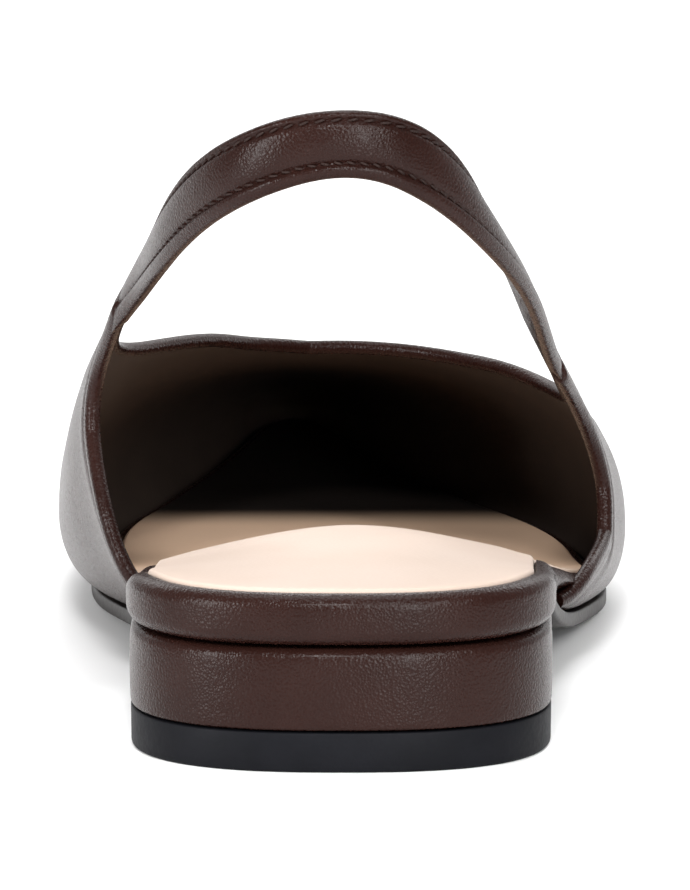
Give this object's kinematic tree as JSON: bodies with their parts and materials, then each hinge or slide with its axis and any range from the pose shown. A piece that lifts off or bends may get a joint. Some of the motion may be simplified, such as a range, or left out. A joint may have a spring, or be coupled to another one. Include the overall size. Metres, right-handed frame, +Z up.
{
  "type": "slingback flat shoe",
  "caption": "Right-foot slingback flat in dark brown leather with a pointed closed vamp, side wings, a stitched heel strap, a pale sock lining and a low covered block heel.",
  "frame": {"origin": "middle of the bounding box's floor, on the floor plane the shoe stands on", "axes": "+Z up, +Y from the heel to the toe along the shoe's length, +X to the lateral (outer) side of the right foot"},
  "size_m": [0.0866, 0.264, 0.0917],
  "materials": {
    "brown_leather": "satin fine grain",
    "pale_sock": "matte",
    "sole_compound": "satin",
    "black_rubber": "matte"
  },
  "bodies": {
    "root": {"upper": "brown_leather", "sling_strap": "brown_leather", "covered_insole": "brown_leather", "heel_block": "brown_leather", "sock_lining": "pale_sock", "outsole": "sole_compound", "heel_top_piece": "black_rubber"}
  },
  "joints": []
}
